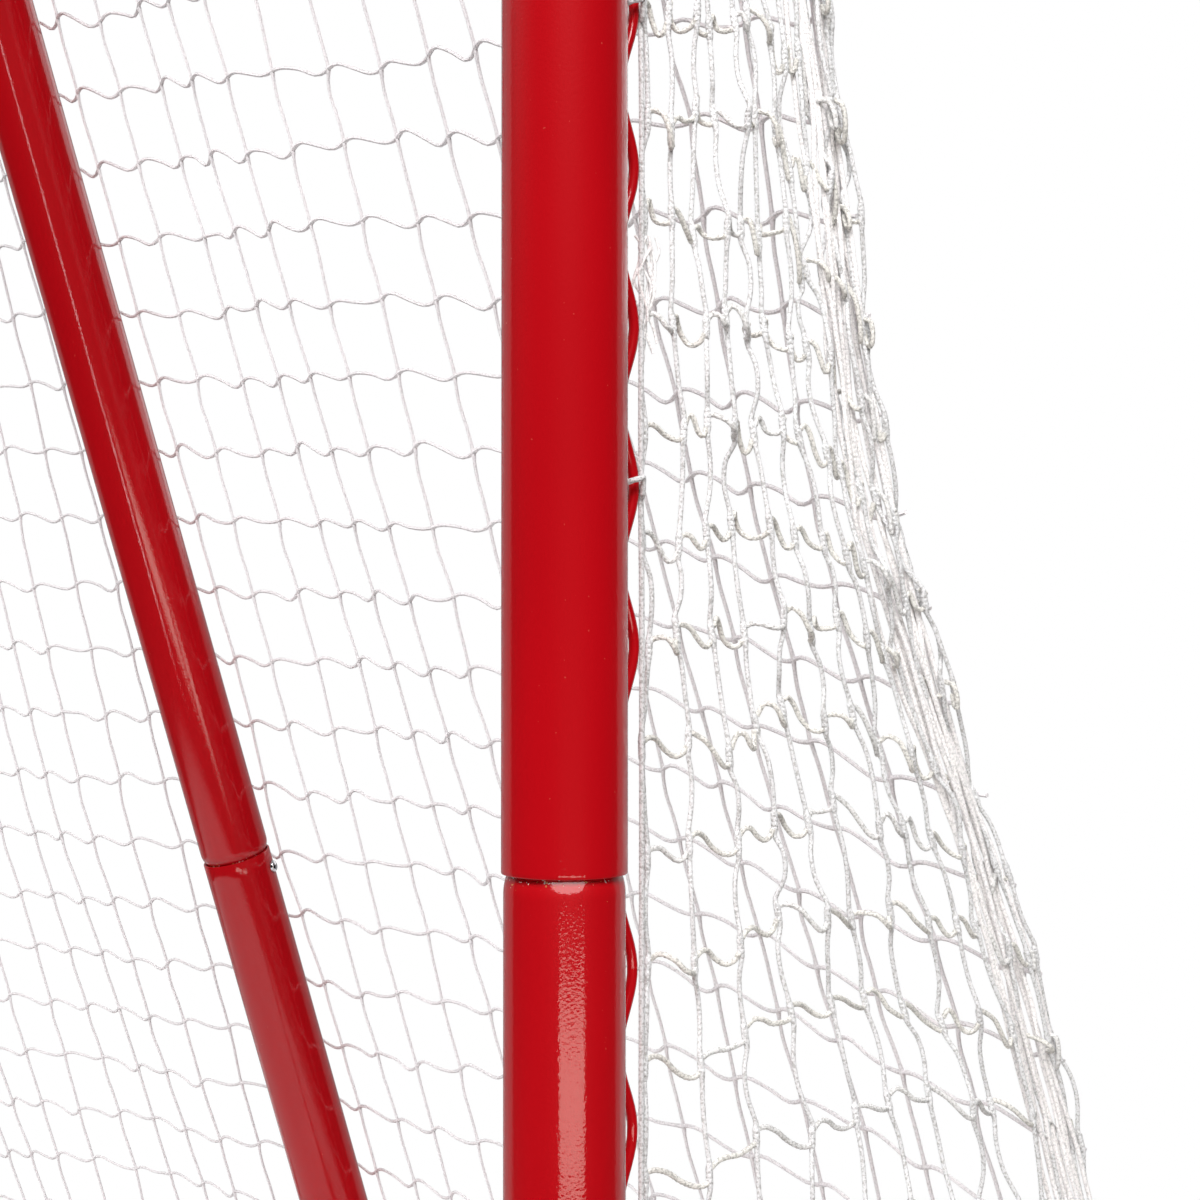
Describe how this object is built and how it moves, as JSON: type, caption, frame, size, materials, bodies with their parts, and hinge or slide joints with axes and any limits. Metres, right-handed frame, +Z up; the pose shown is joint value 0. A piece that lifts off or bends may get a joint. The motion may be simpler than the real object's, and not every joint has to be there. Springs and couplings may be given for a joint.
{
  "type": "catch net frame",
  "caption": "Upright ball catch net on a knock-down frame of round red tube, with a sloping middle stay, scalloped lacing rods, snap-button slip joints and a loose white square-mesh net.",
  "frame": {"origin": "the middle of the floor under the bounding box", "axes": "+X along the crossbar to the post on the right seen from the front, +Y from the open mouth to the back, +Z up"},
  "size_m": [1.5748, 0.513, 1.524],
  "materials": {
    "tube_powder_coat": "glossy red powder coat with fine orange peel",
    "rod_powder_coat": "glossy red powder coat",
    "button_chrome": "bright plated",
    "spring_steel": "plain spring steel",
    "net_twine": "white braided twine, matt",
    "lacing_cord": "white twisted cord, matt"
  },
  "bodies": {
    "frame": {"post_upper_right": "tube_powder_coat", "post_upper_left": "tube_powder_coat", "post_lower_right": "tube_powder_coat", "post_lower_left": "tube_powder_coat", "base_side_right": "tube_powder_coat", "base_side_left": "tube_powder_coat", "crossbar": "tube_powder_coat", "rear_bar": "tube_powder_coat", "stay_head_socket": "tube_powder_coat", "stay_foot_socket": "tube_powder_coat", "stay_upper": "tube_powder_coat", "stay_lower": "tube_powder_coat", "lacing_rod_post_upper_right": "rod_powder_coat", "lacing_rod_post_upper_left": "rod_powder_coat", "lacing_rod_post_lower_right": "rod_powder_coat", "lacing_rod_post_lower_left": "rod_powder_coat", "lacing_rod_rail_right": "rod_powder_coat", "lacing_rod_rail_left": "rod_powder_coat", "lacing_rod_crossbar": "rod_powder_coat", "lacing_rod_rear_bar": "rod_powder_coat", "lacing_cord_post_right": "lacing_cord", "lacing_cord_post_left": "lacing_cord", "lacing_cord_rail_right": "lacing_cord", "lacing_cord_rail_left": "lacing_cord", "lacing_cord_crossbar": "lacing_cord", "lacing_cord_rear_bar": "lacing_cord", "net_back": "net_twine", "net_right": "net_twine", "net_left": "net_twine", "button_spring_post_middle_right": "spring_steel", "button_spring_post_foot_right": "spring_steel", "button_spring_top_corner_right": "spring_steel", "button_spring_rear_corner_right": "spring_steel", "button_spring_post_middle_left": "spring_steel", "button_spring_post_foot_left": "spring_steel", "button_spring_top_corner_left": "spring_steel", "button_spring_rear_corner_left": "spring_steel", "button_spring_stay_head": "spring_steel", "button_spring_stay_foot": "spring_steel", "button_spring_stay_middle": "spring_steel"},
    "snap_button_post_middle_right": {"snap_button_post_middle_right": "button_chrome"},
    "snap_button_post_foot_right": {"snap_button_post_foot_right": "button_chrome"},
    "snap_button_top_corner_right": {"snap_button_top_corner_right": "button_chrome"},
    "snap_button_rear_corner_right": {"snap_button_rear_corner_right": "button_chrome"},
    "snap_button_post_middle_left": {"snap_button_post_middle_left": "button_chrome"},
    "snap_button_post_foot_left": {"snap_button_post_foot_left": "button_chrome"},
    "snap_button_top_corner_left": {"snap_button_top_corner_left": "button_chrome"},
    "snap_button_rear_corner_left": {"snap_button_rear_corner_left": "button_chrome"},
    "snap_button_stay_head": {"snap_button_stay_head": "button_chrome"},
    "snap_button_stay_foot": {"snap_button_stay_foot": "button_chrome"},
    "snap_button_stay_middle": {"snap_button_stay_middle": "button_chrome"}
  },
  "joints": [
    {"name": "snap_button_post_middle_right_press", "type": "slide", "parent": "frame", "child": "snap_button_post_middle_right", "axis": [1, 0, 0], "range_m": [0, 0.006], "stiffness_N_per_m": 1500},
    {"name": "snap_button_post_foot_right_press", "type": "slide", "parent": "frame", "child": "snap_button_post_foot_right", "axis": [1, 0, 0], "range_m": [0, 0.006], "stiffness_N_per_m": 1500},
    {"name": "snap_button_top_corner_right_press", "type": "slide", "parent": "frame", "child": "snap_button_top_corner_right", "axis": [0, 0, 1], "range_m": [0, 0.006], "stiffness_N_per_m": 1500},
    {"name": "snap_button_rear_corner_right_press", "type": "slide", "parent": "frame", "child": "snap_button_rear_corner_right", "axis": [0, 1, 0], "range_m": [0, 0.006], "stiffness_N_per_m": 1500},
    {"name": "snap_button_post_middle_left_press", "type": "slide", "parent": "frame", "child": "snap_button_post_middle_left", "axis": [-1, 0, 0], "range_m": [0, 0.006], "stiffness_N_per_m": 1500},
    {"name": "snap_button_post_foot_left_press", "type": "slide", "parent": "frame", "child": "snap_button_post_foot_left", "axis": [-1, 0, 0], "range_m": [0, 0.006], "stiffness_N_per_m": 1500},
    {"name": "snap_button_top_corner_left_press", "type": "slide", "parent": "frame", "child": "snap_button_top_corner_left", "axis": [0, 0, 1], "range_m": [0, 0.006], "stiffness_N_per_m": 1500},
    {"name": "snap_button_rear_corner_left_press", "type": "slide", "parent": "frame", "child": "snap_button_rear_corner_left", "axis": [0, 1, 0], "range_m": [0, 0.006], "stiffness_N_per_m": 1500},
    {"name": "snap_button_stay_head_press", "type": "slide", "parent": "frame", "child": "snap_button_stay_head", "axis": [-0.7071, -0.6753, -0.2096], "range_m": [0, 0.006], "stiffness_N_per_m": 1500},
    {"name": "snap_button_stay_foot_press", "type": "slide", "parent": "frame", "child": "snap_button_stay_foot", "axis": [-0.7071, -0.6753, -0.2096], "range_m": [0, 0.006], "stiffness_N_per_m": 1500},
    {"name": "snap_button_stay_middle_press", "type": "slide", "parent": "frame", "child": "snap_button_stay_middle", "axis": [-0.7071, -0.6753, -0.2096], "range_m": [0, 0.006], "stiffness_N_per_m": 1500}
  ]
}
